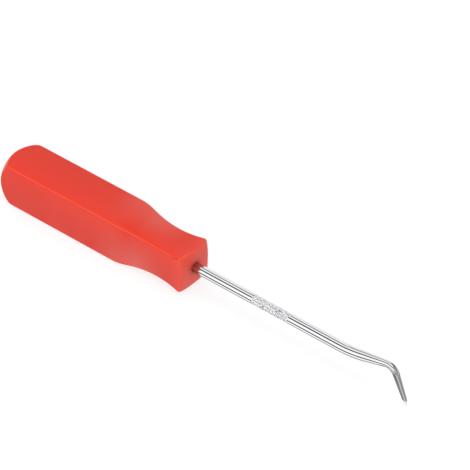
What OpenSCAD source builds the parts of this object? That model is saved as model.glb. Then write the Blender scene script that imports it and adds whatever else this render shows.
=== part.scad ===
// O-ring pick: a round steel shank with a hooked, pointed end, set in a square moulded handle.
// It lies with one flat of its grip down and the hook pointing down, and the tip reaches just below that flat.
// The origin is on that flat, below the middle of the handle. +X runs along the handle to the hook.

/* [Handle] */
// Length of the handle, from the crown of its tail to its nose face
handle_len = 68.6; // [60:0.1:90]
// Width of the grip across its flats
grip_w = 13.7; // [12.5:0.1:18]
// Width across the flats at the narrowest place of the waist
waist_w = 10.7; // [9:0.1:12]
// Distance of the narrowest place of the waist behind the nose face
waist_back = 9.8; // [8:0.1:13]
// Radius of the hollow of the waist, seen from the side
waist_r = 52; // [45:1:70]
// Radius of the shoulder that leads from the grip into the waist
shoulder_r = 26; // [15:1:40]
// Radius that breaks the four long corners
corner_r = 0.7; // [0.3:0.1:1.5]
// Radius of the edge round the nose face
nose_edge_r = 0.9; // [0.3:0.1:1.2]
// How far the nose falls back at its four corners
nose_fall = 0.9; // [0.3:0.1:1.5]
// Depth of the domed tail, from its crown to the long corners
tail_depth = 5.2; // [3.5:0.1:8]
// Radius that blends the domed tail into the long corners
tail_blend_r = 4; // [1:0.5:6]

/* [Shank] */
// Diameter of the round shank
rod_d = 3; // [2.5:0.1:4]
// Length of the shank that is held inside the handle
held_len = 38; // [25:1:48]
// Gap on the radius between the shank and its bore in the handle
bore_gap = 0.02; // [0.01:0.01:0.1]
// Length of the straight run from the nose face to the first bend
run_len = 50.4; // [40:0.1:80]
// Radius of the first, gentle bend, at the middle of the shank
rise_r = 33; // [20:1:60]
// Angle by which the first bend lifts the shank
rise_deg = 12.5; // [5:0.5:20]
// Length of the tapering run between the two bends
neck_len = 8.6; // [4:0.1:15]

/* [Hook] */
// Diameter of the shank round the bend of the hook
hook_d = 2.05; // [1.6:0.05:2.4]
// Radius of the bend of the hook, at the middle of the shank
hook_r = 3; // [2.5:0.1:6]
// Angle through which the hook turns down
hook_deg = 79; // [45:0.5:100]
// Length of the hook from its bend to its tip
hook_len = 9.8; // [5:0.1:12]
// Diameter of the hook where its point starts
tip_d = 1.3; // [0.8:0.1:1.5]
// Length of the ground point
point_len = 1.6; // [1:0.1:3]
// Diameter of the blunt end of the point
point_d = 0.3; // [0.2:0.05:0.6]

/* [Knurl] */
// Distance of the knurled band from the nose face
knurl_from = 21.2; // [10:0.1:25]
// Length of the knurled band
knurl_len = 12; // [6:0.5:14]
// Number of diamonds round the shank
knurl_count = 12; // [8:1:18]
// Length of one diamond along the shank
knurl_pitch = 1.5; // [1:0.1:2.5]
// Height of the diamonds' tips above the plain shank
knurl_raise = 0.05; // [0.02:0.01:0.15]
// Depth of the grooves below the plain shank
knurl_depth = 0.13; // [0.08:0.01:0.25]
// Length over which the knurl runs out at each end
knurl_lead = 0.2; // [0.1:0.05:0.5]

/* [Hidden] */
$fn = 96;

// Reach of a cutting shape past the face that it cuts
over = 1;
// Length by which joined shapes overlap, and the slight step between their surfaces there
lap = 0.1;
step = 0.002;
// Step on the radius from the straight lengths of the shank to its bends
bend_step = 0.02;
// Height of the handle's middle line and place of its nose face
axis_z = grip_w / 2;
nose_x = handle_len / 2;

// The turned form takes off the long corners: its radii at the grip, the waist and the nose
corner_cut = corner_r * (sqrt(2) - 1);
turned_grip = grip_w / sqrt(2) - corner_cut;
turned_waist = waist_w / sqrt(2) - corner_cut;
turned_hollow_r = waist_r / sqrt(2);
turned_shoulder_r = shoulder_r / sqrt(2);
turned_nose = turned_waist + turned_hollow_r - sqrt(pow(turned_hollow_r, 2) - pow(waist_back, 2));

// Rounded front edge of the flats: place of its arc, and where that meets the hollow
edge_v = waist_w / 2 + waist_r - sqrt(pow(waist_r + nose_edge_r, 2) - pow(waist_back - nose_edge_r, 2));
edge_u = -waist_back + (waist_back - nose_edge_r) * waist_r / (waist_r + nose_edge_r);

// Ball that takes back the corners of the nose: its middle lies on the handle's middle line
nose_back = (pow(turned_nose, 2) - pow(edge_v, 2) + pow(nose_fall, 2)) / (2 * nose_fall);
nose_ball_r = sqrt(pow(nose_back, 2) + pow(edge_v, 2));

// Ball of the tail, and the arc that blends it into the turned corners
tail_r = (pow(turned_grip, 2) + pow(tail_depth, 2)) / (2 * tail_depth);
tail_mid = -handle_len + tail_r;
blend_v = turned_grip - tail_blend_r;
blend_u = tail_mid - sqrt(pow(tail_r - tail_blend_r, 2) - pow(blend_v, 2));
blend_from = tail_mid - (tail_mid - blend_u) * tail_r / (tail_r - tail_blend_r);

// Knurl: rows of points half a diamond apart, and the radii of tips and grooves
knurl_tip = rod_d / 2 + knurl_raise;
knurl_root = rod_d / 2 - knurl_depth;
knurl_rows = floor((knurl_len - 2 * knurl_lead) / (knurl_pitch / 2));
knurl_step = (knurl_len - 2 * knurl_lead) / knurl_rows;
knurl_sides = 2 * knurl_count;

// Length from the start of the shoulder to the narrowest place of the waist
function shoulder_run(drop, hollow_r, bend_r) =
    sqrt(pow(hollow_r + bend_r, 2) - pow(hollow_r + bend_r - drop, 2));

// Flat strip across the outline from u0 to u1
module strip(u0, u1, half) {
    translate([u0, -half]) square([u1 - u0, 2 * half]);
}

// Two circles on either side of the middle line
module pair(u, v, r) {
    for (side = [-1, 1]) translate([u, side * v]) circle(r);
}

// Outline of the grip and its shoulder from u0 on, with a strip to u1 that the hollow is cut from
module contour(grip, waist, hollow_r, bend_r, u0, u1) {
    run = shoulder_run(grip - waist, hollow_r, bend_r);
    start = -waist_back - run;
    meet = start + run * bend_r / (hollow_r + bend_r);
    strip(u0, start, grip);
    intersection() {
        strip(start - lap, meet + lap, grip);
        translate([start, grip - bend_r + step]) circle(bend_r);
        translate([start, bend_r - grip - step]) circle(bend_r);
    }
    strip(meet, u1, grip + over);
}

// Circles that the hollow of the waist is cut with
module hollow(waist, hollow_r) {
    pair(-waist_back, waist + hollow_r, hollow_r);
}

// Side view of the flats, with the rounded edge of the nose
module flat_side() {
    difference() {
        union() {
            contour(grip_w / 2, waist_w / 2, waist_r, shoulder_r, -handle_len - over, edge_u);
            strip(edge_u - lap, 0, edge_v);
            intersection() {
                strip(edge_u - lap, 0, grip_w);
                pair(step - nose_edge_r, edge_v, nose_edge_r);
            }
        }
        hollow(waist_w / 2, waist_r);
    }
}

// Side view of the turned form: domed tail, broken corners and the fall of the nose
module turned_side() {
    difference() {
        union() {
            intersection() {
                strip(-handle_len - over, blend_from, turned_grip);
                translate([tail_mid, 0]) circle(tail_r);
            }
            strip(blend_from - lap, blend_u + lap, blend_v);
            intersection() {
                strip(blend_from - lap, blend_u + lap, turned_grip);
                pair(blend_u, blend_v + step, tail_blend_r);
            }
            contour(
                turned_grip, turned_waist, turned_hollow_r, turned_shoulder_r, blend_u, lap - waist_back
            );
            intersection() {
                strip(-waist_back, over, turned_grip);
                translate([-nose_back, 0]) circle(nose_ball_r);
            }
        }
        hollow(turned_waist, turned_hollow_r);
    }
}

// Prism with the side view of the flats, turned about the handle's middle line
module flats(turn) {
    rotate([turn, 0, 0]) linear_extrude(height = 2 * grip_w, center = true) flat_side();
}

// Solid of revolution of the turned side view, about the handle's middle line
module turned() {
    rotate([0, 90, 0]) rotate_extrude() intersection() {
        translate([0, -handle_len - over]) square([grip_w, handle_len + 2 * over]);
        rotate(90) turned_side();
    }
}

// Straight round length from x0 to x1 along the shank
module round_run(x0, x1, d) {
    translate([x0, 0, 0]) rotate([0, 90, 0]) cylinder(h = x1 - x0, d = d);
}

// Turned length along +X from half an outline of [radius, place] points
module turned_run(outline) {
    rotate([0, 90, 0]) rotate_extrude() polygon(outline);
}

// Bend that starts along +X and turns up, and the frame at its far end
module bend(r, d, deg) {
    translate([0, 0, r]) rotate([90, 0, 0]) rotate([0, 0, -90])
        rotate_extrude(angle = deg) translate([r, 0]) circle(r = d / 2 - bend_step);
}
module after_bend(r, deg) {
    translate([r * sin(deg), 0, r * (1 - cos(deg))]) rotate([0, -deg, 0]) children();
}

// Diamond knurl: tips and groove crossings take turns round each row, and grooves run between crossings
function knurl_radius(row, i) =
    row < 0 || row > knurl_rows ? knurl_root : (row + i) % 2 == 0 ? knurl_tip : knurl_root;
function knurl_x(row) =
    row < 0 ? knurl_from - lap
    : row > knurl_rows ? knurl_from + knurl_len + lap
    : knurl_from + knurl_lead + row * knurl_step;
function knurl_at(row, i) = (row + 1) * knurl_sides + i % knurl_sides;
function knurl_faces(row, i) =
    let (a = knurl_at(row, i), b = knurl_at(row, i + 1))
    let (c = knurl_at(row + 1, i + 1), d = knurl_at(row + 1, i))
    (row + i) % 2 == 0 ? [[a, d, b], [d, c, b]] : [[a, d, c], [a, c, b]];
module knurl() {
    last = (knurl_rows + 2) * knurl_sides;
    points = [
        for (row = [-1 : knurl_rows + 1], i = [0 : knurl_sides - 1])
            let (r = knurl_radius(row, i), turn = i * 360 / knurl_sides)
            [knurl_x(row), r * cos(turn), r * sin(turn)]
    ];
    walls = [
        for (row = [-1 : knurl_rows], i = [0 : knurl_sides - 1]) each knurl_faces(row, i)
    ];
    back = [for (i = [0 : knurl_sides - 1]) i];
    front = [for (i = [knurl_sides - 1 : -1 : 0]) last + i];
    polyhedron(points, concat(walls, [back, front]), convexity = 4);
}

// Tapering run between the two bends, along +X
module neck() {
    turned_run([
        [0, -lap],
        [rod_d / 2, -lap],
        [rod_d / 2, 0],
        [hook_d / 2, neck_len],
        [hook_d / 2, neck_len + lap],
        [0, neck_len + lap]
    ]);
}

// Tapering hook with its ground point, along +X
module hook_end() {
    turned_run([
        [0, -lap],
        [hook_d / 2, -lap],
        [hook_d / 2, 0],
        [tip_d / 2, hook_len - point_len],
        [point_d / 2, hook_len],
        [0, hook_len]
    ]);
}

module handle() {
    color("#e2452f") translate([nose_x, 0, axis_z]) difference() {
        intersection() {
            flats(0);
            flats(90);
            turned();
        }
        round_run(-held_len - bore_gap, over, rod_d + 2 * bore_gap);
    }
}

module shank() {
    color("silver") translate([nose_x, 0, axis_z]) {
        round_run(-held_len, knurl_from, rod_d);
        knurl();
        round_run(knurl_from + knurl_len, run_len + lap, rod_d);
        translate([run_len, 0, 0]) {
            bend(rise_r, rod_d, rise_deg);
            after_bend(rise_r, rise_deg) {
                neck();
                translate([neck_len, 0, 0]) mirror([0, 0, 1]) {
                    bend(hook_r, hook_d, hook_deg);
                    after_bend(hook_r, hook_deg) hook_end();
                }
            }
        }
    }
}

handle();
shank();
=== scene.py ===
"""O-ring pick: a moulded square handle that holds a plated steel shank with a knurled band and a hook.

Sizes are in metres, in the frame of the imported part: +X runs along the handle to the hook, and +Z is up.
Places along the handle and lengths along the shank are counted forwards from the handle's nose face.
Directions round the two are counted from +Y, so a quarter turn is up and a half turn is the near side.
"""

import logging
import math
from dataclasses import dataclass
from enum import Enum

import bpy
import numpy as np
from mathutils import Matrix, Vector


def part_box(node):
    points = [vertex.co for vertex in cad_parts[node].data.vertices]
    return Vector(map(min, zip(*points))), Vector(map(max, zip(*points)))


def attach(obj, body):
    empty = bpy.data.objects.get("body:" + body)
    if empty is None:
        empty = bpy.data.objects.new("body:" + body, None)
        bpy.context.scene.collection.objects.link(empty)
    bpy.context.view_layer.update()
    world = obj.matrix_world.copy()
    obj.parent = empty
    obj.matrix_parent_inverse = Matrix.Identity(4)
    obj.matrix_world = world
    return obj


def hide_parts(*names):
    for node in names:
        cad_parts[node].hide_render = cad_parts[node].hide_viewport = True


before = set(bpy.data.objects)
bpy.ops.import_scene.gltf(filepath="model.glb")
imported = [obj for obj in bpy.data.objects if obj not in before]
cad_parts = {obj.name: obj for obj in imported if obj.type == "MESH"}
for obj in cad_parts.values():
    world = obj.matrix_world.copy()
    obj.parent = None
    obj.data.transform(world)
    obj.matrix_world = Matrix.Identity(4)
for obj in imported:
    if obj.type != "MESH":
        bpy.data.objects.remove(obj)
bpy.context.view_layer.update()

MM = 0.001
BODY = "root"
QUARTER = math.pi / 2
# Most of a noise pattern's strength lies between these two.
PATTERN_MIDDLE = (0.3, 0.7)
Colour = tuple[float, float, float, float]
# Places along the handle, called u, and distances from its middle line, called v.
Profile = tuple[np.ndarray, np.ndarray]
Inputs = dict[str | int, object]
Socket = bpy.types.NodeSocket
log = logging.getLogger("pick")


class Piece(Enum):
    """The two pieces, by the names of the nodes that they stand for."""

    HANDLE = "handle"
    SHANK = "shank"


class Slot(Enum):
    """The record's material slots."""

    PLASTIC = "handle_plastic"
    STEEL = "plated_steel"


class Mark(Enum):
    """Point attributes that the meshes carry for their finishes, among them painted highlight, sheen and
    shade.
    """

    # Painted highlight along the handle's corners and round its nose.
    EDGE_HIGHLIGHT = "edge"
    # Painted sheen on the handle's waist and nose face.
    PAINTED_SHEEN = "painted_sheen"
    # Painted shade round the mouth of the bore.
    MOUTH_SHADE = "mouth_shade"
    KNURL = "knurl"
    # Painted shade in the knurl's grooves.
    GROOVE_SHADE = "groove"
    # Painted shade at the shank's foot, where it mirrors the red nose.
    FOOT_SHADE = "foot_shade"
    UNROLLED = "unrolled"


class Blended(Enum):
    """What a blend works on."""

    VALUES = "FLOAT"
    COLOURS = "RGBA"


class Graph:
    """Adds and joins the nodes of a material or a world."""

    def __init__(self, tree: bpy.types.NodeTree) -> None:
        """Start from an empty tree."""
        tree.nodes.clear()
        self.tree = tree

    def add(self, kind: str, inputs: Inputs | None = None, **settings: object) -> bpy.types.Node:
        """Add a node, set it up and fill its inputs.

        Args:
            kind: Name of the node's type, without the start that all have.
            inputs: Values or output sockets, by the name or number of the input.
            settings: The node's own settings.

        Returns:
            The new node.
        """
        node = self.tree.nodes.new("ShaderNode" + kind)
        for name, value in settings.items():
            setattr(node, name, value)
        for key, value in (inputs or {}).items():
            if isinstance(value, Socket):
                self.tree.links.new(value, node.inputs[key])
            else:
                node.inputs[key].default_value = value
        return node

    def marked(self, name: Mark, output: str = "Fac") -> Socket:
        """Read what a mark stores on the mesh."""
        return self.add("Attribute", attribute_name=name.value).outputs[output]

    def noise(self, at: Socket, scale: float, detail: float = 2.0) -> Socket:
        """Add a noise pattern.

        Args:
            at: Coordinates that the pattern follows.
            scale: Number of its blotches in a metre.
            detail: Number of finer layers in it.

        Returns:
            The strength of the pattern, from 0 to 1.
        """
        return self.add("TexNoise", {"Vector": at, "Scale": scale, "Detail": detail}).outputs["Fac"]

    def share(self, value: Socket, start: float, stop: float) -> Socket:
        """Turn a value into a share.

        Args:
            value: The value.
            start: Value at which the share is 0.
            stop: Value at which it is 1.

        Returns:
            The share, from 0 to 1.
        """
        ends = {"Value": value, "From Min": start, "From Max": stop}
        return self.add("MapRange", ends).outputs["Result"]

    def spread(self, pattern: Socket, low: float, high: float) -> Socket:
        """Map the middle of a pattern's strength onto a span.

        Args:
            pattern: The pattern's strength.
            low: Result where the pattern is weak.
            high: Result where it is strong.

        Returns:
            The mapped value.
        """
        start, stop = PATTERN_MIDDLE
        ends = {"Value": pattern, "From Min": start, "From Max": stop, "To Min": low, "To Max": high}
        return self.add("MapRange", ends).outputs["Result"]

    def blend(
        self,
        share: Socket,
        first: Socket | Colour,
        second: Socket | Colour,
        kind: Blended = Blended.COLOURS,
    ) -> Socket:
        """Blend two colours or two values.

        Args:
            share: Share of the second.
            first: The first, or its socket.
            second: The second, or its socket.
            kind: Which of the two kinds they are.

        Returns:
            The blended colour or value.
        """
        ends = {"Factor": share, "A": first, "B": second}
        return self.add("Mix", ends, data_type=kind.value).outputs["Result"]


def new_material(name: str) -> tuple[bpy.types.Material, Graph]:
    """Make a material with an empty graph.

    Args:
        name: The material's name.

    Returns:
        The material and its graph.
    """
    material = bpy.data.materials.new(name)
    material.use_nodes = True
    return material, Graph(material.node_tree)


@dataclass(frozen=True)
class MouldedPlastic:
    """Satin red plastic: faintly cloudy, with a fine moulded grain, a painted pale sheen and painted warm
    highlights along its edges.

    An edge mark up to warm_to warms the red, and from there on it lightens it, both as painted highlight.
    A mark round the bore's mouth darkens it, as painted shade.
    """

    body: Colour = (0.67, 0.026, 0.008, 1.0)
    cloud: Colour = (0.64, 0.030, 0.012, 1.0)
    # Painted highlight: the warm and edge colours light up the corners and the nose's soft edge.
    warm: Colour = (0.76, 0.028, 0.006, 1.0)
    edge: Colour = (0.80, 0.090, 0.052, 1.0)
    # Painted sheen on the waist and the nose face.
    painted_sheen: Colour = (0.69, 0.135, 0.112, 1.0)
    # Painted shade round the mouth of the bore.
    mouth_shade: Colour = (0.28, 0.018, 0.014, 1.0)
    warm_to: float = 0.4
    cloud_scale: float = 120.0
    cloud_detail: float = 3.0
    grain_scale: float = 5200.0
    grain_height: float = 0.004 * MM
    grain_strength: float = 0.5
    roughness: tuple[float, float] = (0.30, 0.40)
    ior: float = 1.49
    shine: float = 0.26
    glow: float = 0.25
    glow_depth: float = 0.8 * MM
    glow_reach: tuple[float, float, float] = (1.0, 0.16, 0.08)

    def colour(self, graph: Graph, cloud: Socket) -> Socket:
        """Add the plastic's colour.

        Args:
            graph: The material's graph.
            cloud: Strength of the cloudiness.

        Returns:
            The colour.
        """
        edge = graph.marked(Mark.EDGE_HIGHLIGHT)
        cloudy = graph.blend(cloud, self.body, self.cloud)
        # Painted highlight: the edge mark warms the red, then lightens it.
        warmed = graph.blend(graph.share(edge, 0.0, self.warm_to), cloudy, self.warm)
        # Painted sheen.
        sheened = graph.blend(graph.marked(Mark.PAINTED_SHEEN), warmed, self.painted_sheen)
        unshaded = graph.blend(graph.share(edge, self.warm_to, 1.0), sheened, self.edge)
        # Painted shade round the bore's mouth.
        return graph.blend(graph.marked(Mark.MOUTH_SHADE), unshaded, self.mouth_shade)

    def material(self) -> bpy.types.Material:
        """Build the plastic's material.

        Returns:
            The material.
        """
        material, graph = new_material("moulded_red_plastic")
        at = graph.add("TexCoord").outputs["Object"]
        cloud = graph.spread(graph.noise(at, self.cloud_scale, self.cloud_detail), 0.0, 1.0)
        grain = {
            "Strength": self.grain_strength,
            "Distance": self.grain_height,
            "Height": graph.noise(at, self.grain_scale),
        }
        shader = graph.add(
            "BsdfPrincipled",
            {
                "Base Color": self.colour(graph, cloud),
                "Roughness": graph.spread(cloud, *self.roughness),
                "IOR": self.ior,
                "Specular IOR Level": self.shine,
                "Subsurface Weight": self.glow,
                "Subsurface Scale": self.glow_depth,
                "Subsurface Radius": self.glow_reach,
                "Normal": graph.add("Bump", grain).outputs["Normal"],
            },
        )
        graph.add("OutputMaterial", {"Surface": shader.outputs["BSDF"]})
        return material


@dataclass(frozen=True)
class PlatedSteel:
    """Bright plating over drawn steel rod: fine draw lines, a duller crushed knurl and a dark foot.

    The knurl's grooves carry painted shade, and the foot painted shade where it mirrors the red nose.
    """

    bright: Colour = (0.66, 0.66, 0.67, 1.0)
    shade: Colour = (0.59, 0.59, 0.61, 1.0)
    crushed: Colour = (0.84, 0.84, 0.85, 1.0)
    # Painted shade in the knurl's grooves.
    groove: Colour = (0.50, 0.50, 0.52, 1.0)
    # Painted shade at the foot, where the steel mirrors the red nose.
    foot_shade: Colour = (0.36, 0.29, 0.29, 1.0)
    line_scale: float = 2600.0
    line_stretch: float = 0.02
    line_height: float = 0.0006 * MM
    line_strength: float = 0.4
    pit_scale: float = 2400.0
    pit_detail: float = 3.0
    roughness: tuple[float, float] = (0.02, 0.05)
    knurl_roughness: tuple[float, float] = (0.15, 0.30)

    def colour(self, graph: Graph, lines: Socket) -> Socket:
        """Add the plating's colour.

        Args:
            graph: The material's graph.
            lines: Strength of the draw lines.

        Returns:
            The colour.
        """
        drawn = graph.blend(graph.spread(lines, 0.0, 1.0), self.bright, self.shade)
        # Painted shade in the knurl's grooves.
        pressed = graph.blend(graph.marked(Mark.GROOVE_SHADE), self.crushed, self.groove)
        plated = graph.blend(graph.marked(Mark.KNURL), drawn, pressed)
        # Painted shade at the foot, where the steel mirrors the red nose.
        return graph.blend(graph.marked(Mark.FOOT_SHADE), plated, self.foot_shade)

    def material(self) -> bpy.types.Material:
        """Build the plating's material.

        Returns:
            The material.
        """
        material, graph = new_material("bright_plated_steel")
        at = graph.add("TexCoord").outputs["Object"]
        unrolled = graph.marked(Mark.UNROLLED, "Vector")
        stretch = (self.line_stretch, 1.0, 1.0)
        along = graph.add("Mapping", {"Vector": unrolled, "Scale": stretch}).outputs["Vector"]
        lines = graph.noise(along, self.line_scale)
        plain = graph.spread(lines, *self.roughness)
        pitted = graph.spread(graph.noise(at, self.pit_scale, self.pit_detail), *self.knurl_roughness)
        rough = graph.blend(graph.marked(Mark.KNURL), plain, pitted, Blended.VALUES)
        scores = {"Strength": self.line_strength, "Distance": self.line_height, "Height": lines}
        shader = graph.add(
            "BsdfPrincipled",
            {
                "Base Color": self.colour(graph, lines),
                "Metallic": 1.0,
                "Roughness": rough,
                "Normal": graph.add("Bump", scores).outputs["Normal"],
            },
        )
        graph.add("OutputMaterial", {"Surface": shader.outputs["BSDF"]})
        return material


@dataclass(frozen=True)
class FloorPaper:
    """Matt white background paper, lit through from below."""

    colour: Colour = (0.22, 0.22, 0.22, 1.0)
    roughness: float = 0.9
    glow: Colour = (1.0, 1.0, 1.0, 1.0)
    lit_through: float = 0.80

    def material(self) -> bpy.types.Material:
        """Build the paper's material.

        Returns:
            The material.
        """
        material, graph = new_material("white_paper")
        shader = graph.add(
            "BsdfPrincipled",
            {
                "Base Color": self.colour,
                "Roughness": self.roughness,
                "Specular IOR Level": 0.0,
                "Emission Color": self.glow,
                "Emission Strength": self.lit_through,
            },
        )
        graph.add("OutputMaterial", {"Surface": shader.outputs["BSDF"]})
        return material


def place_object(name: str, data: bpy.types.ID) -> bpy.types.Object:
    """Put a new object into the scene.

    Args:
        name: Its name.
        data: Its mesh, light or camera.

    Returns:
        The object.
    """
    item = bpy.data.objects.new(name, data)
    bpy.context.scene.collection.objects.link(item)
    return item


def skin(name: str, rings: np.ndarray, first_pole: Vector, last_pole: Vector) -> bpy.types.Object:
    """Close a row of rings into one smooth mesh, with a fan of faces from each end to its pole.

    Args:
        name: Name of the piece.
        rings: Points, by ring and by place round the ring.
        first_pole: Middle of the end before the first ring.
        last_pole: Middle of the end after the last ring.

    Returns:
        The new object.
    """
    rows, sides = rings.shape[:2]
    points = np.concatenate([rings.reshape(-1, 3), np.array([first_pole, last_pole])])
    here = np.arange(sides)
    after = np.roll(here, -1)
    near = np.arange(rows - 1)[:, None] * sides
    far = near + sides
    faces = np.stack([near + here, near + after, far + after, far + here], axis=2).reshape(-1, 4).tolist()
    pole = np.full(sides, rows * sides)
    last = (rows - 1) * sides
    faces += np.stack([pole, after, here], axis=1).tolist()
    faces += np.stack([pole + 1, last + here, last + after], axis=1).tolist()
    mesh = bpy.data.meshes.new(name)
    mesh.from_pydata(points.tolist(), [], faces)
    mesh.polygons.foreach_set("use_smooth", np.ones(len(faces), dtype=bool))
    mesh.update()
    return place_object(name, mesh)


def mark(piece: bpy.types.Object, name: Mark, strength: np.ndarray) -> None:
    """Store a value or a vector at each point of a skinned piece, for its finish.

    Args:
        piece: The piece.
        name: What the value marks.
        strength: The value by ring and by place round the ring.
    """
    poles = np.concatenate([strength[0].mean(axis=0).ravel(), strength[-1].mean(axis=0).ravel()])
    values = np.concatenate([strength.ravel(), poles]).astype(np.float32)
    kind, field = ("FLOAT_VECTOR", "vector") if strength.ndim == 3 else ("FLOAT", "value")
    attribute = piece.data.attributes.new(name.value, kind, "POINT")
    attribute.data.foreach_set(field, values)


def seat(piece: bpy.types.Object, node: Piece, finish: bpy.types.Material) -> None:
    """Give a piece its finish and put it in the place of its node.

    Args:
        piece: The piece.
        node: The node that it stands for.
        finish: Its material.
    """
    piece.data.materials.append(finish)
    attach(piece, BODY)
    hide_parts(node.value)


def off_flat(turn: np.ndarray) -> np.ndarray:
    """Angle from the middle of the nearest flat: 0 there and 45 degrees at a long corner."""
    return np.abs((turn + QUARTER / 2) % QUARTER - QUARTER / 2)


def rounded_square(half: np.ndarray, corner_r: float, turn: np.ndarray) -> np.ndarray:
    """Reach of a rounded square from its middle.

    Args:
        half: Half of the width across the flats.
        corner_r: Radius of the corners.
        turn: Direction from the middle.

    Returns:
        The distance to the outline in that direction.
    """
    fold = off_flat(turn)
    core = half - corner_r
    along = core * (np.cos(fold) + np.sin(fold))
    corner = along + np.sqrt(np.maximum(along**2 - 2 * core**2 + corner_r**2, 0))
    return np.where(half * np.tan(fold) <= core, half / np.cos(fold), corner)


def shares(steps: int) -> np.ndarray:
    """Even shares from 0 up to, but not including, 1, as a column."""
    return np.linspace(0, 1, steps, endpoint=False)[:, None]


@dataclass(frozen=True)
class PaintedPlasticLight:
    """Where painted light and shade lie on the plastic, as strengths from 0 to 1.

    One long corner has a wide painted warm glow round a set direction, and no painted sheen comes near it.
    Every long corner has a fine painted highlight line. The three strengths of the rim's painted highlight
    and of the face's painted sheen hold at the back of the nose's soft edge, on its middle and halfway in
    to the bore. The painted shade is a ring at the mouth of the bore.
    """

    # Painted warm glow round one long corner, and painted highlight lines along all four.
    lit_turn: float = math.radians(126)
    lit_reach: float = math.radians(85)
    glow: float = 0.36
    glow_power: float = 1.6
    line: float = 0.60
    line_power: float = 22.0
    other_corners: float = 0.12
    tail_fade: float = 2 * MM
    nose_fade: float = 3 * MM
    # Painted highlight on the nose's soft edge.
    rim: tuple[float, float, float] = (0.18, 0.56, 0.24)
    rim_lit: float = 0.7
    # Painted sheen on the waist and the nose face.
    sheen_places: tuple[float, ...] = (-32 * MM, -17 * MM, -10 * MM, -5 * MM)
    painted_sheen: tuple[float, ...] = (0.0, 0.76, 0.28, 0.04)
    sheen_power: float = 0.9
    face_sheen: tuple[float, float, float] = (0.08, 0.48, 0.54)
    face_lit: float = 0.3
    # Painted shade round the mouth of the bore.
    mouth_shade: float = 0.5
    mouth_shade_reach: float = 1.3 * MM

    def nearness(self, turn: np.ndarray) -> np.ndarray:
        """Nearness to the middle of the painted warm glow: 1 there, and 0 beyond its reach."""
        return np.clip(1 - np.abs(turn - self.lit_turn) / self.lit_reach, 0, 1)

    def side_highlight(self, turn: np.ndarray) -> np.ndarray:
        """Painted wide glow of the lit corner, with a painted highlight line along each long corner.

        Args:
            turn: Directions round the handle.

        Returns:
            The strength in each direction.
        """
        corner = off_flat(turn) / (QUARTER / 2)
        lit_corner = np.abs(turn - self.lit_turn) < QUARTER / 2
        line = self.line * corner**self.line_power * np.where(lit_corner, 1.0, self.other_corners)
        return self.glow * self.nearness(turn) ** self.glow_power + line

    def side_sheen(self, place: np.ndarray, turn: np.ndarray) -> np.ndarray:
        """Painted sheen round the waist, away from the lit corner.

        Args:
            place: Places along the handle.
            turn: Directions round the handle.

        Returns:
            The strength at each place, in each direction.
        """
        held_off = self.nearness(turn) ** self.sheen_power
        return np.interp(place, self.sheen_places, self.painted_sheen) * (1 - held_off)


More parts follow.
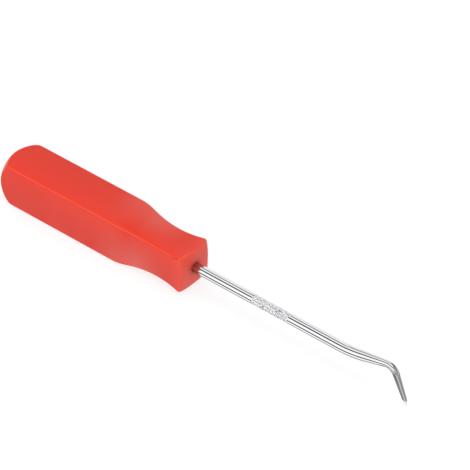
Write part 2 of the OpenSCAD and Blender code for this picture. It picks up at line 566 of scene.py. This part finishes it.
@dataclass
class Handle:
    """One-piece moulding: domed tail, square grip, shoulder, hollow waist, flared nose and blind bore."""

    length: float
    grip_half: float
    nose_x: float
    axis_z: float
    waist_half: float = 5.35 * MM
    waist_back: float = 9.8 * MM
    waist_r: float = 52 * MM
    shoulder_r: float = 26 * MM
    corner_r: float = 0.7 * MM
    tail_depth: float = 5.2 * MM
    tail_blend_r: float = 4 * MM
    tail_edge_r: float = 0.7 * MM
    nose_edge_r: float = 0.9 * MM
    nose_fall: float = 0.9 * MM
    face_flat_r: float = 4 * MM
    bore_r: float = 1.52 * MM
    bore_depth: float = 38.02 * MM
    # Painted highlight, sheen and shade on the plastic.
    painted_light: PaintedPlasticLight = PaintedPlasticLight()
    flat_turn: float = math.radians(39.5)
    flat_steps: int = 32
    corner_steps: int = 22
    dome_steps: int = 24
    rim_steps: int = 34
    side_steps: int = 130
    edge_steps: int = 14
    face_steps: int = 24
    settle_steps: int = 5
    slope_step: float = 0.01 * MM

    @classmethod
    def from_frame(cls) -> "Handle":
        """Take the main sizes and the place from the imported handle.

        Returns:
            The handle, not yet built.
        """
        low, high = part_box(Piece.HANDLE.value)
        half = (high.z - low.z) / 2
        return cls(length=high.x - low.x, grip_half=half, nose_x=high.x, axis_z=low.z + half)

    def on_axis(self, place: float) -> Vector:
        """Point on the handle's middle line."""
        return Vector((self.nose_x + place, 0.0, self.axis_z))

    def heel(self) -> Vector:
        """Back end of the grip's lower flat, which the tool rests on."""
        place, _ = self.tail(self.turns())
        return self.on_axis(place[-1].min()) - Vector((0.0, 0.0, self.grip_half))

    def turns(self) -> np.ndarray:
        """Choose the directions round the handle, closer together at its four long corners.

        Returns:
            The directions.
        """
        flat = np.linspace(-self.flat_turn, self.flat_turn, self.flat_steps, endpoint=False)
        corner = np.linspace(self.flat_turn, QUARTER - self.flat_turn, self.corner_steps, endpoint=False)
        quarter = np.concatenate([flat, corner])
        return np.concatenate([quarter + side * QUARTER for side in range(4)])

    def half_at(self, place: np.ndarray) -> np.ndarray:
        """Half width across the flats, up to a sharp nose.

        Args:
            place: Places along the handle, 0 at the nose face and negative behind it.

        Returns:
            The half width at each place.
        """
        both = self.waist_r + self.shoulder_r
        run = math.sqrt(both**2 - (both - self.grip_half + self.waist_half) ** 2)
        start = -self.waist_back - run
        meet = start + run * self.shoulder_r / both
        past = np.clip(place - start, 0, self.shoulder_r)
        shoulder = self.grip_half - self.shoulder_r + np.sqrt(self.shoulder_r**2 - past**2)
        off = np.clip(place + self.waist_back, -self.waist_r, self.waist_r)
        hollow = self.waist_half + self.waist_r - np.sqrt(self.waist_r**2 - off**2)
        return np.where(place < meet, shoulder, hollow)

    def reach_at(self, place: np.ndarray, turn: np.ndarray) -> np.ndarray:
        """Distance of the handle's side from its middle line."""
        return rounded_square(self.half_at(place), self.corner_r, turn)

    def face_at(self, reach: np.ndarray) -> np.ndarray:
        """Nose face, which falls back towards the four corners of the nose.

        Args:
            reach: Distances from the middle line.

        Returns:
            The place of the face at each distance.
        """
        widest = self.reach_at(np.zeros(1), np.full(1, QUARTER / 2))
        out = np.maximum(reach - self.face_flat_r, 0) / (widest - self.face_flat_r)
        return -self.nose_fall * out**2

    def tail(self, turn: np.ndarray) -> Profile:
        """Domed tail, its blend into the long corners, and the soft edge between it and the flats.

        Each ring has one slope: close to 0 at the crown and a right angle where the sides start.

        Args:
            turn: Directions round the handle.

        Returns:
            Places along the handle and distances from its middle line.
        """
        corner = rounded_square(np.array(self.grip_half), self.corner_r, np.array(QUARTER / 2))
        side = rounded_square(np.array(self.grip_half), self.corner_r, turn)
        ball = (corner**2 + self.tail_depth**2) / (2 * self.tail_depth)
        middle = ball - self.length
        blend, soft = self.tail_blend_r, self.tail_edge_r
        # The ball of the dome passes into the blend at one slope, lean.
        blend_v = corner - blend
        lean = np.arcsin(blend_v / (ball - blend))
        blend_u = middle - (ball - blend) * np.cos(lean)
        # Near the long corners the soft edge starts on the blend, and elsewhere on the ball.
        on_blend = np.arcsin(np.clip((side - soft - blend_v) / (blend - soft), -1, 1))
        on_ball = np.arcsin((side - soft) / (ball - soft))
        leave = np.where(on_blend > lean, on_blend, on_ball)
        from_blend = blend_u - (blend - soft) * np.cos(on_blend)
        soft_u = np.where(on_blend > lean, from_blend, middle - (ball - soft) * np.cos(on_ball))
        crown = shares(self.dome_steps)[1:] * on_ball.min()
        slope = np.concatenate([crown, np.linspace(on_ball.min(), QUARTER, self.rim_steps)[:, None]])
        past_ball, past_dome = slope > lean, slope > leave
        cos, sin = np.cos(slope), np.sin(slope)
        dome_u = np.where(past_ball, blend_u - blend * cos, middle - ball * cos)
        dome_v = np.where(past_ball, blend_v + blend * sin, ball * sin)
        return (
            np.where(past_dome, soft_u - soft * cos, dome_u),
            np.where(past_dome, side - soft + soft * sin, dome_v),
        )

    def nose(self, turn: np.ndarray) -> tuple[Profile, Profile]:
        """Soft edge of the nose, from the sides round to the nose face, and that face.

        Args:
            turn: Directions round the handle.

        Returns:
            The profile of the edge and the profile of the face, each as places and distances.
        """
        # The side meets the face where the place and the reach agree.
        place = np.zeros_like(turn)
        for _ in range(self.settle_steps):
            place = self.face_at(self.reach_at(place, turn))
        reach = self.reach_at(place, turn)
        step = self.slope_step
        side = np.arctan((reach - self.reach_at(place - step, turn)) / step)
        face = np.arctan((self.face_at(reach - step) - self.face_at(reach)) / step)
        bend = QUARTER + side - face
        back = self.nose_edge_r * np.tan(bend / 2)
        pull = self.nose_edge_r * np.tan(bend / 4) * 4 / 3
        first_u = place - back * np.cos(side)
        first_v = self.reach_at(first_u, turn)
        last_v = reach - back * np.cos(face)
        last_u = self.face_at(last_v)
        # A cubic curve with this pull at both ends lies close to an arc.
        t = shares(self.edge_steps)
        weights = [(1 - t) ** 3, 3 * t * (1 - t) ** 2, 3 * t**2 * (1 - t), t**3]
        places = [first_u, first_u + pull * np.cos(side), last_u - pull * np.sin(face), last_u]
        reaches = [first_v, first_v + pull * np.sin(side), last_v + pull * np.cos(face), last_v]
        edge = (
            sum(weight * point for weight, point in zip(weights, places)),
            sum(weight * point for weight, point in zip(weights, reaches)),
        )
        inward = last_v + shares(self.face_steps) * (self.bore_r - last_v)
        return edge, (self.face_at(inward), inward)

    def profile(self, turn: np.ndarray) -> Profile:
        """Whole profile in each direction, from the crown of the tail round to the end of the bore.

        Args:
            turn: Directions round the handle.

        Returns:
            Places along the handle and distances from its middle line.
        """
        tail_u, tail_v = self.tail(turn)
        (edge_u, edge_v), (face_u, face_v) = self.nose(turn)
        side_u = tail_u[-1] + shares(self.side_steps) * (edge_u[0] - tail_u[-1])
        side_v = self.reach_at(side_u, turn)
        bore_u = np.outer([0.0, -self.bore_depth], np.ones_like(turn))
        bore_v = np.full_like(bore_u, self.bore_r)
        return (
            np.concatenate([tail_u[:-1], side_u, edge_u, face_u, bore_u]),
            np.concatenate([tail_v[:-1], side_v, edge_v, face_v, bore_v]),
        )

    def mark_painted_light(self, piece: bpy.types.Object, profile: Profile, turn: np.ndarray) -> None:
        """Mark where the handle has painted highlight, painted sheen and painted shade.

        Args:
            piece: The handle.
            profile: Places along the handle and distances from its middle line.
            turn: Directions round the handle.
        """
        painted_light = self.painted_light
        place, reach = profile
        ring = np.arange(len(place))[:, None]
        first_side = len(self.tail(turn)[0]) - 1
        first_edge = first_side + self.side_steps
        from_tail = np.clip(1 + (place - place[first_side]) / painted_light.tail_fade, 0, 1)
        to_nose = np.clip(1 + (place - place[first_edge]) / painted_light.nose_fade, 0, 1)
        to_nose = np.where(ring < first_edge, to_nose, 1.0)
        spots = [0, self.edge_steps / 2, self.edge_steps + self.face_steps / 2]
        near = painted_light.nearness(turn)
        rim = np.interp(ring - first_edge, spots, painted_light.rim) * (1 + painted_light.rim_lit * near)
        face = np.interp(ring - first_edge, spots, painted_light.face_sheen) * (1 - painted_light.face_lit * near)
        side = from_tail * painted_light.side_highlight(turn)
        # Painted highlight along the corners and round the nose's soft edge.
        mark(piece, Mark.EDGE_HIGHLIGHT, side + to_nose * (rim - side))
        # Painted sheen on the waist and the nose face.
        waist = painted_light.side_sheen(place, turn)
        mark(piece, Mark.PAINTED_SHEEN, waist + to_nose * (face - waist))
        # Painted shade round the mouth of the bore.
        mouth = np.interp(reach - self.bore_r, [0, painted_light.mouth_shade_reach], [painted_light.mouth_shade, 0])
        mark(piece, Mark.MOUTH_SHADE, np.where(ring < first_edge, 0.0, mouth))

    def build(self, finish: MouldedPlastic) -> bpy.types.Object:
        """Make the handle's mesh and dress it.

        Args:
            finish: The plastic.

        Returns:
            The handle.
        """
        turn = self.turns()
        place, reach = self.profile(turn)
        across, upward = reach * np.cos(turn), reach * np.sin(turn)
        rings = np.stack([self.nose_x + place, across, self.axis_z + upward], axis=2)
        piece = skin("handle_moulding", rings, self.on_axis(-self.length), self.on_axis(-self.bore_depth))
        self.mark_painted_light(piece, (place, reach), turn)
        seat(piece, Piece.HANDLE, finish.material())
        return piece


@dataclass(frozen=True)
class Knurl:
    """Diamond knurl, pressed in a little unevenly by two sets of slanting grooves.

    Two slow waves make it uneven. Each is given by its radians along a pitch and its number round the rod.
    """

    start: float = 21.2 * MM
    length: float = 12 * MM
    count: int = 12
    pitch: float = 1.5 * MM
    crest: float = 0.05 * MM
    depth: float = 0.13 * MM
    lead: float = 0.25 * MM
    uneven: float = 0.2
    stray_wave: tuple[float, int] = (2.6, 3)
    press_wave: tuple[float, int] = (1.7, -2)
    groove_power: int = 3

    def ends(self) -> tuple[float, float]:
        """Lengths along the shank between which it is knurled, with the lead at each end."""
        return self.start - self.lead, self.start + self.length + self.lead

    def relief(self, station: np.ndarray, turn: np.ndarray) -> tuple[np.ndarray, np.ndarray, np.ndarray]:
        """Work out the pressed surface.

        Args:
            station: Lengths along the shank.
            turn: Directions round the shank.

        Returns:
            The height over the plain rod, the share of knurl and how deep the grooves lie, from 0 to 1;
            the last sets the grooves' painted shade.
        """
        along = (station - self.start)[:, None] / self.pitch
        around = self.count * turn / (2 * math.pi)
        stray, press = (
            self.uneven * np.sin(wave * along + number * turn)
            for wave, number in (self.stray_wave, self.press_wave)
        )
        # Each set of ridges rises from 0 in its grooves to 1 on its crests.
        ridges = [1 - np.abs(2 * ((around + way * along + stray) % 1) - 1) for way in (-1, 1)]
        diamond = np.minimum(*ridges) * (1 - self.uneven + press)
        inside = np.minimum(station - self.start, self.start + self.length - station)
        band = np.clip(inside / self.lead + 1, 0, 1)[:, None]
        height = band * ((self.crest + self.depth) * diamond - self.depth)
        groove = band * (1 - diamond) ** self.groove_power
        return height, np.broadcast_to(band, height.shape), groove


@dataclass
class Shank:
    """One length of round steel: held end, knurled band, gentle rise, tapering neck and pointed hook.

    The ring counts are those of its stretches, from the held end to the round of the point. The painted
    shade at the foot, where it mirrors the red nose, is whole up to the first of its two lengths and gone
    at the second.
    """

    nose_x: float
    axis_z: float
    held_len: float
    rod_r: float = 1.5 * MM
    run_len: float = 50.4 * MM
    rise_r: float = 33 * MM
    rise_turn: float = math.radians(12.5)
    neck_len: float = 8.6 * MM
    hook_rod_r: float = 1.025 * MM
    hook_r: float = 3 * MM
    hook_turn: float = math.radians(79)
    hook_len: float = 9.8 * MM
    tip_r: float = 0.65 * MM
    point_len: float = 1.6 * MM
    point_r: float = 0.15 * MM
    ease_len: float = 0.6 * MM
    ease_steps: int = 9
    knurl: Knurl = Knurl()
    # Painted shade at the foot, where the steel mirrors the red nose, in streaks.
    foot_shade_to: tuple[float, float] = (1.8 * MM, 2.4 * MM)
    streak_depth: float = 0.3
    streak_count: int = 6
    ring_counts: tuple[int, ...] = (4, 20, 200, 18, 30, 24, 44, 24, 14)
    point_rings: int = 6
    sides: int = 168
    path_step: float = 0.02 * MM

    @classmethod
    def from_frame(cls, handle: Handle) -> "Shank":
        """Take the place from the handle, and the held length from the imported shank.

        Args:
            handle: The handle that holds it.

        Returns:
            The shank, not yet built.
        """
        low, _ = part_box(Piece.SHANK.value)
        return cls(nose_x=handle.nose_x, axis_z=handle.axis_z, held_len=handle.nose_x - low.x)

    def bends(self) -> np.ndarray:
        """Find where the shank starts and stops bending.

        Returns:
            The lengths along it, from its held end to its tip.
        """
        lengths = [
            self.run_len,
            self.rise_r * self.rise_turn,
            self.neck_len,
            self.hook_r * self.hook_turn,
            self.hook_len,
        ]
        return np.concatenate([[-self.held_len], np.cumsum(lengths)])

    def stations(self) -> np.ndarray:
        """Choose where the shank has rings, closer together where it bends, tapers or is knurled.

        Returns:
            The lengths along it.
        """
        held_end, *bends, tip = self.bends()
        ends = [held_end, 0.0, *self.knurl.ends(), *bends, tip - self.point_len, tip - self.point_r]
        stretches = zip(ends, ends[1:], self.ring_counts)
        spans = [start + shares(steps) * (stop - start) for start, stop, steps in stretches]
        point = tip - self.point_r * (1 - np.sin(shares(self.point_rings) * QUARTER))
        return np.concatenate([*spans, point]).ravel()

    def path(self, station: np.ndarray) -> tuple[np.ndarray, np.ndarray, np.ndarray]:
        """Middle line of the shank.

        Args:
            station: Lengths along the shank.

        Returns:
            The places forwards and upwards from the middle of the nose face, and the headings.
        """
        fall = self.rise_turn - self.hook_turn
        turns = [0, 0, self.rise_turn, self.rise_turn, fall, fall]
        fine = np.union1d(station, np.arange(0, self.bends()[-1], self.path_step))
        heading = np.interp(fine, self.bends(), turns)
        step = np.diff(fine)
        middle = (heading[1:] + heading[:-1]) / 2
        forward = np.concatenate([[0.0], np.cumsum(step * np.cos(middle))]) + fine[0]
        upward = np.concatenate([[0.0], np.cumsum(step * np.sin(middle))])
        at = np.searchsorted(fine, station)
        return forward[at], upward[at], heading[at]

    def on_path(self, station: float) -> Vector:
        """Point on the shank's middle line."""
        forward, upward, _ = self.path(np.array([station]))
        return Vector((self.nose_x + forward[0], 0.0, self.axis_z + upward[0]))

    def toe(self) -> Vector:
        """Tip of the hook, which the tool rests on."""
        return self.on_path(self.bends()[-1])

    def radius(self, station: np.ndarray) -> np.ndarray:
        """Radius without the knurl: it tapers to the hook and the ground point, with eased changes.

        Args:
            station: Lengths along the shank.

        Returns:
            The radius at each length.
        """
        *bends, tip = self.bends()
        places = [*bends, tip - self.point_len, tip]
        sizes = [self.rod_r] * 3 + [self.hook_rod_r] * 2 + [self.tip_r, self.point_r]
        room = np.minimum(self.ease_len, np.maximum(tip - self.point_r - station, 0))
        around = station[:, None] + room[:, None] * np.linspace(-1, 1, self.ease_steps)
        size = np.interp(around, places, sizes).mean(axis=1)
        left = np.clip((tip - station) / self.point_r, 0, 1)
        return size * np.sqrt(1 - (1 - left) ** 2)

    def shaded_foot(self, station: np.ndarray, turn: np.ndarray) -> np.ndarray:
        """Painted shade at the foot of the shank, where it mirrors the red nose, in streaks.

        Args:
            station: Lengths along the shank.
            turn: Directions round the shank.

        Returns:
            The strength at each length, in each direction.
        """
        streak = 1 - self.streak_depth + self.streak_depth * np.cos(self.streak_count * turn)
        return np.interp(station, self.foot_shade_to, [1, 0])[:, None] * streak

    def build(self, finish: PlatedSteel) -> bpy.types.Object:
        """Make the shank's mesh and dress it.

        Args:
            finish: The plating.

        Returns:
            The shank.
        """
        station = self.stations()
        turn = np.linspace(0, 2 * math.pi, self.sides, endpoint=False)
        height, band, groove = self.knurl.relief(station, turn)
        forward, upward, heading = (row[:, None] for row in self.path(station))
        size = self.radius(station)[:, None] + height
        across, lift = size * np.cos(turn), size * np.sin(turn)
        along = self.nose_x + forward - lift * np.sin(heading)
        rings = np.stack([along, across, self.axis_z + upward + lift * np.cos(heading)], axis=2)
        piece = skin("shank_rod", rings, self.on_path(-self.held_len), self.toe())
        straight = np.broadcast_to(station[:, None], size.shape)
        mark(piece, Mark.UNROLLED, np.stack([straight, across, lift], axis=2))
        mark(piece, Mark.KNURL, band)
        # Painted shade in the knurl's grooves.
        mark(piece, Mark.GROOVE_SHADE, groove)
        # Painted shade at the foot.
        mark(piece, Mark.FOOT_SHADE, self.shaded_foot(station, turn))
        seat(piece, Piece.SHANK, finish.material())
        return piece


@dataclass(frozen=True)
class Camera:
    """Long lens that looks down on the nose from the hook's side."""

    azimuth: float = math.radians(40.071)
    elevation: float = math.radians(40.335)
    distance: float = 900.96 * MM
    lens_px: float = 3282.4
    frame_px: float = 470.0
    nose_px: tuple[float, float] = (195.256, 267.195)
    sensor_mm: float = 36.0
    far_limit: float = 10.0

    def build(self, nose: Vector) -> bpy.types.Object:
        """Make the camera and set it as the scene's own.

        Args:
            nose: Middle of the nose face, which falls on its own pixel of the frame.

        Returns:
            The camera.
        """
        level = math.cos(self.elevation)
        right = Vector((math.cos(self.azimuth), math.sin(self.azimuth), 0.0))
        back = Vector((right.y * level, -right.x * level, math.sin(self.elevation)))
        up = back.cross(right)
        scale = self.distance / self.lens_px
        middle = self.frame_px / 2
        across, down = self.nose_px
        aim = nose + right * (middle - across) * scale + up * (down - middle) * scale
        data = bpy.data.cameras.new("camera")
        data.sensor_width = self.sensor_mm
        data.lens = self.lens_px * self.sensor_mm / self.frame_px
        data.clip_end = self.far_limit
        camera = place_object("camera", data)
        camera.location = nose + back * self.distance
        ahead = (aim - camera.location).normalized()
        level_right = (right - ahead * right.dot(ahead)).normalized()
        axes = Matrix((level_right, level_right.cross(ahead), -ahead)).transposed()
        camera.rotation_mode = "QUATERNION"
        camera.rotation_quaternion = axes.to_quaternion()
        bpy.context.scene.camera = camera
        return camera


@dataclass(frozen=True)
class Panel:
    """Even stretch of cloth in the light tent.

    It runs between two angles round the tool, in degrees: 0 is the near horizon, 90 is straight up and 180
    is the far horizon.
    """

    start: float
    stop: float
    shade: float


@dataclass(frozen=True)
class Wall:
    """Wall of the light tent, with soft changes between its panels."""

    panels: tuple[Panel, ...]

    def shade(self, graph: Graph, turn: Socket) -> Socket:
        """Add the wall's brightness.

        Args:
            graph: The world's graph.
            turn: The angle round the tool, from 0 to 1.

        Returns:
            The brightness.
        """
        ramp = graph.add("ValToRGB", {"Fac": turn})
        stops = [(at, panel.shade) for panel in self.panels for at in (panel.start, panel.stop)]
        points = ramp.color_ramp.elements
        while len(points) < len(stops):
            points.new(1.0)
        for point, (degrees, shade) in zip(points, stops):
            point.position = (degrees + 180) / 360
            point.color = (shade, shade, shade, 1.0)
        return ramp.outputs["Color"]


@dataclass(frozen=True)
class Curtain(Wall):
    """Wall that takes over from those before it between the two ends of its span.

    The ends are counted along the tool: -1 is straight back and 1 is straight ahead.
    """

    span: tuple[float, float]


@dataclass(frozen=True)
class Tent:
    """White light tent round the tool, whose dark gaps between bright panels stripe the steel."""

    sides: Wall = Wall(
        panels=(
            Panel(-180, -105, 1.05),
            Panel(-90, -66, 0.50),
            Panel(-57, -29, 1.48),
            Panel(-19, -5, 0.04),
            Panel(6, 42, 1.70),
            Panel(47, 65, 0.02),
            Panel(74, 97, 1.40),
            Panel(104, 116, 0.14),
            Panel(124, 145, 1.40),
            Panel(165, 180, 1.20),
        ),
    )
    back: Curtain = Curtain(
        span=(-0.53, -0.60),
        panels=(
            Panel(-180, -32, 1.10),
            Panel(-26, -14, 0.0),
            Panel(-4, 43, 1.58),
            Panel(51, 66, 0.0),
            Panel(78, 110, 1.35),
            Panel(121, 133, 0.20),
            Panel(144, 180, 1.35),
        ),
    )
    front: Curtain = Curtain(
        span=(-0.30, 0.0),
        panels=(
            Panel(-180, -60, 1.05),
            Panel(-36, -22, 0.40),
            Panel(-13, 0, 0.90),
            Panel(6, 40, 1.45),
            Panel(47, 60, 0.10),
            Panel(72, 103, 1.45),
            Panel(117, 150, 0.05),
            Panel(165, 180, 0.80),
        ),
    )
    end: Curtain = Curtain(
        span=(0.33, 0.46),
        panels=(
            Panel(-180, -8, 0.50),
            Panel(2, 13, 0.25),
            Panel(26, 52, 0.90),
            Panel(80, 146, 0.37),
            Panel(165, 180, 0.88),
        ),
    )
    backdrop: Colour = (0.97, 0.97, 0.97, 1.0)

    def build(self) -> bpy.types.World:
        """Make the world that the tool reflects.

        Returns:
            The world.
        """
        world = bpy.data.worlds.new("light_tent")
        world.use_nodes = True
        bpy.context.scene.world = world
        graph = Graph(world.node_tree)
        toward = graph.add("SeparateXYZ", {"Vector": graph.add("TexCoord").outputs["Generated"]})
        near = graph.add("Math", {0: toward.outputs["Y"], 1: -1.0}, operation="MULTIPLY")
        angle = graph.add("Math", {0: toward.outputs["Z"], 1: near.outputs["Value"]}, operation="ARCTAN2")
        turn = graph.share(angle.outputs["Value"], -math.pi, math.pi)
        shade = self.sides.shade(graph, turn)
        for curtain in (self.back, self.front, self.end):
            taken = graph.share(toward.outputs["X"], *curtain.span)
            shade = graph.blend(taken, shade, curtain.shade(graph, turn))
        walls = graph.add("Background", {"Color": shade}).outputs["Background"]
        plain = graph.add("Background", {"Color": self.backdrop}).outputs["Background"]
        seen = graph.add("LightPath").outputs["Is Camera Ray"]
        both = graph.add("MixShader", {"Fac": seen, 1: walls, 2: plain})
        graph.add("OutputWorld", {"Surface": both.outputs["Shader"]})
        return world


@dataclass(frozen=True)
class ReflectionCard:
    """Glowing card on the floor round the tip of the hook that only the steel sees: the dark ones paint
    reflected shade into the hook, and the bright one at the tip a reflected highlight.

    Its sides run out from the tip in two directions, start and stop, in degrees from +X.
    """

    name: str
    start: float
    stop: float
    inner: float
    outer: float
    shade: float
    steps: int = 24

    def build(self, toe: Vector) -> bpy.types.Object:
        """Cut the card and lay it.

        Args:
            toe: Tip of the hook.

        Returns:
            The card.
        """
        rims = [
            (reach * math.cos(turn), reach * math.sin(turn), 0.0)
            for reach in (self.inner, self.outer)
            for turn in np.radians(np.linspace(self.start, self.stop, self.steps))
        ]
        faces = [
            (step, step + 1, self.steps + step + 1, self.steps + step) for step in range(self.steps - 1)
        ]
        mesh = bpy.data.meshes.new(self.name)
        mesh.from_pydata(rims, [], faces)
        material, graph = new_material("reflection_card")
        tone = (self.shade, self.shade, self.shade, 1.0)
        light = graph.add("Emission", {"Color": tone})
        graph.add("OutputMaterial", {"Surface": light.outputs["Emission"]})
        mesh.materials.append(material)
        card = place_object(self.name, mesh)
        card.location = toe
        card.visible_camera = False
        card.visible_diffuse = False
        card.visible_shadow = False
        return card


@dataclass(frozen=True)
class Lamp:
    """Large soft lamp that shines on the tool and doesn't show in the steel."""

    name: str
    offset: tuple[float, float, float]
    power: float
    size: float = 0.9

    def build(self, target: Vector) -> bpy.types.Object:
        """Hang the lamp and aim it.

        Args:
            target: Point that it shines on.

        Returns:
            The lamp.
        """
        data = bpy.data.lights.new(self.name, "AREA")
        data.shape = "DISK"
        data.size = self.size
        data.energy = self.power
        lamp = place_object(self.name, data)
        lamp.location = target + Vector(self.offset)
        lamp.rotation_mode = "QUATERNION"
        lamp.rotation_quaternion = (-Vector(self.offset)).to_track_quat("-Z", "Y")
        lamp.visible_glossy = False
        return lamp


@dataclass(frozen=True)
class Studio:
    """Pale floor under the tool, cards round the tip of its hook, and two soft lamps.

    The cards paint reflected shade and a reflected highlight into the steel.
    """

    floor_size: float = 4.0
    paper: FloorPaper = FloorPaper()
    # Painted reflections for the hook: dark cards for shade under it, a bright one for a highlight at its
    # tip.
    cards: tuple[ReflectionCard, ...] = (
        ReflectionCard("tip_card", 0, 360, 0.05 * MM, 2.6 * MM, 1.3),
        ReflectionCard("back_card", 185, 214, 2.6 * MM, 12.8 * MM, 0.30),
        ReflectionCard("near_card", 214, 290, 2.6 * MM, 12.5 * MM, 0.36),
        ReflectionCard("dark_card", 214, 290, 12.5 * MM, 18 * MM, 0.18),
        ReflectionCard("front_card", 290, 340, 2.6 * MM, 60 * MM, 0.85),
        ReflectionCard("far_card", 340, 382, 2.6 * MM, 60 * MM, 0.38),
    )
    lamps: tuple[Lamp, ...] = (
        Lamp("top_lamp", (0.0, 0.0, 0.9), 2.3),
        Lamp("front_lamp", (0.9, -0.1, 0.3), 2.6),
    )

    def build_floor(self, heel: Vector, toe: Vector) -> bpy.types.Object:
        """Lay the floor under the two places that the tool rests on.

        Args:
            heel: Back end of the grip's lower flat.
            toe: Tip of the hook.

        Returns:
            The floor.
        """
        half = self.floor_size / 2
        mesh = bpy.data.meshes.new("floor")
        corners = [(-half, -half, 0.0), (half, -half, 0.0), (half, half, 0.0), (-half, half, 0.0)]
        mesh.from_pydata(corners, [], [(0, 1, 2, 3)])
        mesh.materials.append(self.paper.material())
        floor = place_object("floor", mesh)
        floor.location = heel
        floor.rotation_euler.y = math.atan2(heel.z - toe.z, toe.x - heel.x)
        floor.visible_glossy = False
        return floor

    def build(self, nose: Vector, heel: Vector, toe: Vector) -> list[bpy.types.Object]:
        """Set up the floor, the cards and the lamps.

        Args:
            nose: Middle of the nose face, which the lamps shine on.
            heel: Back end of the grip's lower flat.
            toe: Tip of the hook.

        Returns:
            All of them.
        """
        bpy.context.scene.view_settings.view_transform = "Standard"
        cards = [card.build(toe) for card in self.cards]
        lamps = [lamp.build(nose) for lamp in self.lamps]
        return [self.build_floor(heel, toe), *cards, *lamps]


def main() -> None:
    """Build the pick and its studio, piece by piece."""
    logging.basicConfig(level=logging.INFO, format="%(name)s: %(message)s")
    handle = Handle.from_frame()
    shank = Shank.from_frame(handle)
    nose = handle.on_axis(0.0)
    pieces = [
        Camera().build(nose),
        handle.build(MouldedPlastic()),
        shank.build(PlatedSteel()),
        *Studio().build(nose, handle.heel(), shank.toe()),
    ]
    for piece in pieces:
        count = len(piece.data.polygons) if piece.type == "MESH" else 0
        log.info("built %s, %d faces", piece.name, count)
    log.info("built %s", Tent().build().name)


if __name__ == "__main__":
    main()
